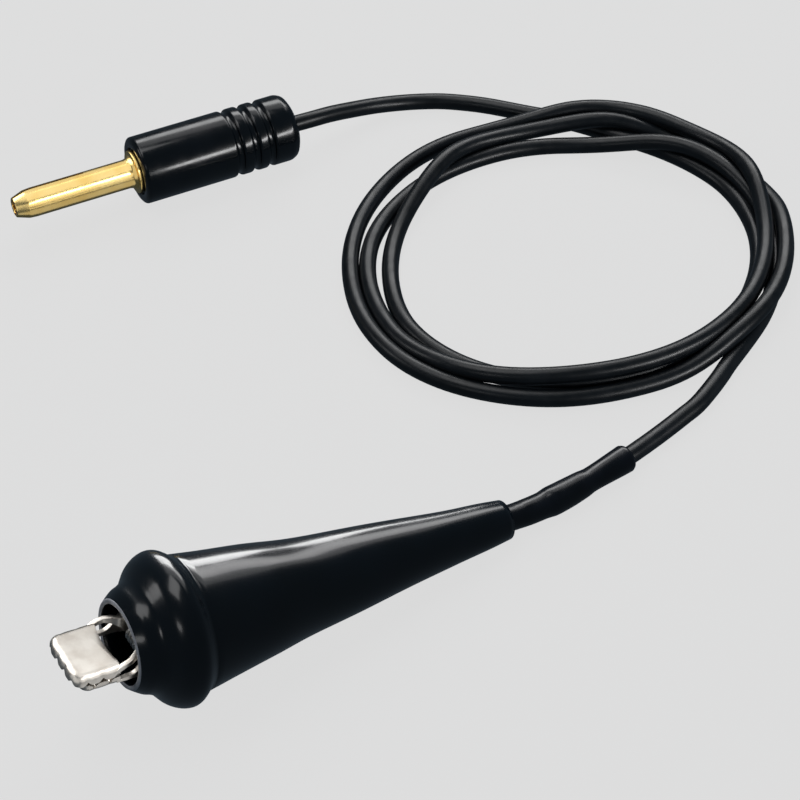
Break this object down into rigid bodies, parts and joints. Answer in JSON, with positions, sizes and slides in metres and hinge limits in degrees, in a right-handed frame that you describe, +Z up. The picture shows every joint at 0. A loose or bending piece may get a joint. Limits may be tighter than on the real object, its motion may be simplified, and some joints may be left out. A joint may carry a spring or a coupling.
{
  "type": "test lead with spring clip and 4 mm plug",
  "caption": "Black single-core test lead: a small insulated spring clip in a flared boot at one end, a coiled lead, and a straight gold pin plug with a ribbed handle at the other.",
  "frame": {"origin": "centre of the underside of the clip's bounding box, on the surface it lies on", "axes": "+X along the clip from its jaws to its tail, +Y to the side where the plug lies, +Z up"},
  "size_m": [0.1219, 0.0922, 0.0176],
  "materials": {
    "nickel": "bright nickel plate",
    "spring_steel": "drawn wire",
    "vinyl": "glossy",
    "copper": "bare strands",
    "tin": "satin solder",
    "heat_shrink": "semi-gloss",
    "pvc_jacket": "satin",
    "handle_plastic": "gloss",
    "gold_plate": "bright gold plate"
  },
  "bodies": {
    "clip_and_lead": {"lower_jaw": "nickel", "pivot_rivet": "nickel", "jaw_spring": "spring_steel", "insulating_boot": "vinyl", "clip_conductor": "copper", "clip_solder": "tin", "outer_sleeve": "heat_shrink", "inner_sleeve": "heat_shrink", "lead_clip_run": "pvc_jacket", "lead_coil": "pvc_jacket", "lead_plug_run": "pvc_jacket", "plug_handle": "handle_plastic", "plug_pin": "gold_plate", "plug_conductor": "copper", "plug_solder": "tin"},
    "jaw": {"upper_jaw": "nickel"}
  },
  "joints": [
    {"name": "jaw_hinge", "type": "hinge", "parent": "clip_and_lead", "child": "jaw", "pos_m": [-0.01852, 0, 0.00881], "axis": [0, 1, 0], "range_deg": [0, 25], "stiffness_Nm_per_rad": 0.03, "springref_deg": -34.38, "deforming": ["jaw_spring"]}
  ]
}
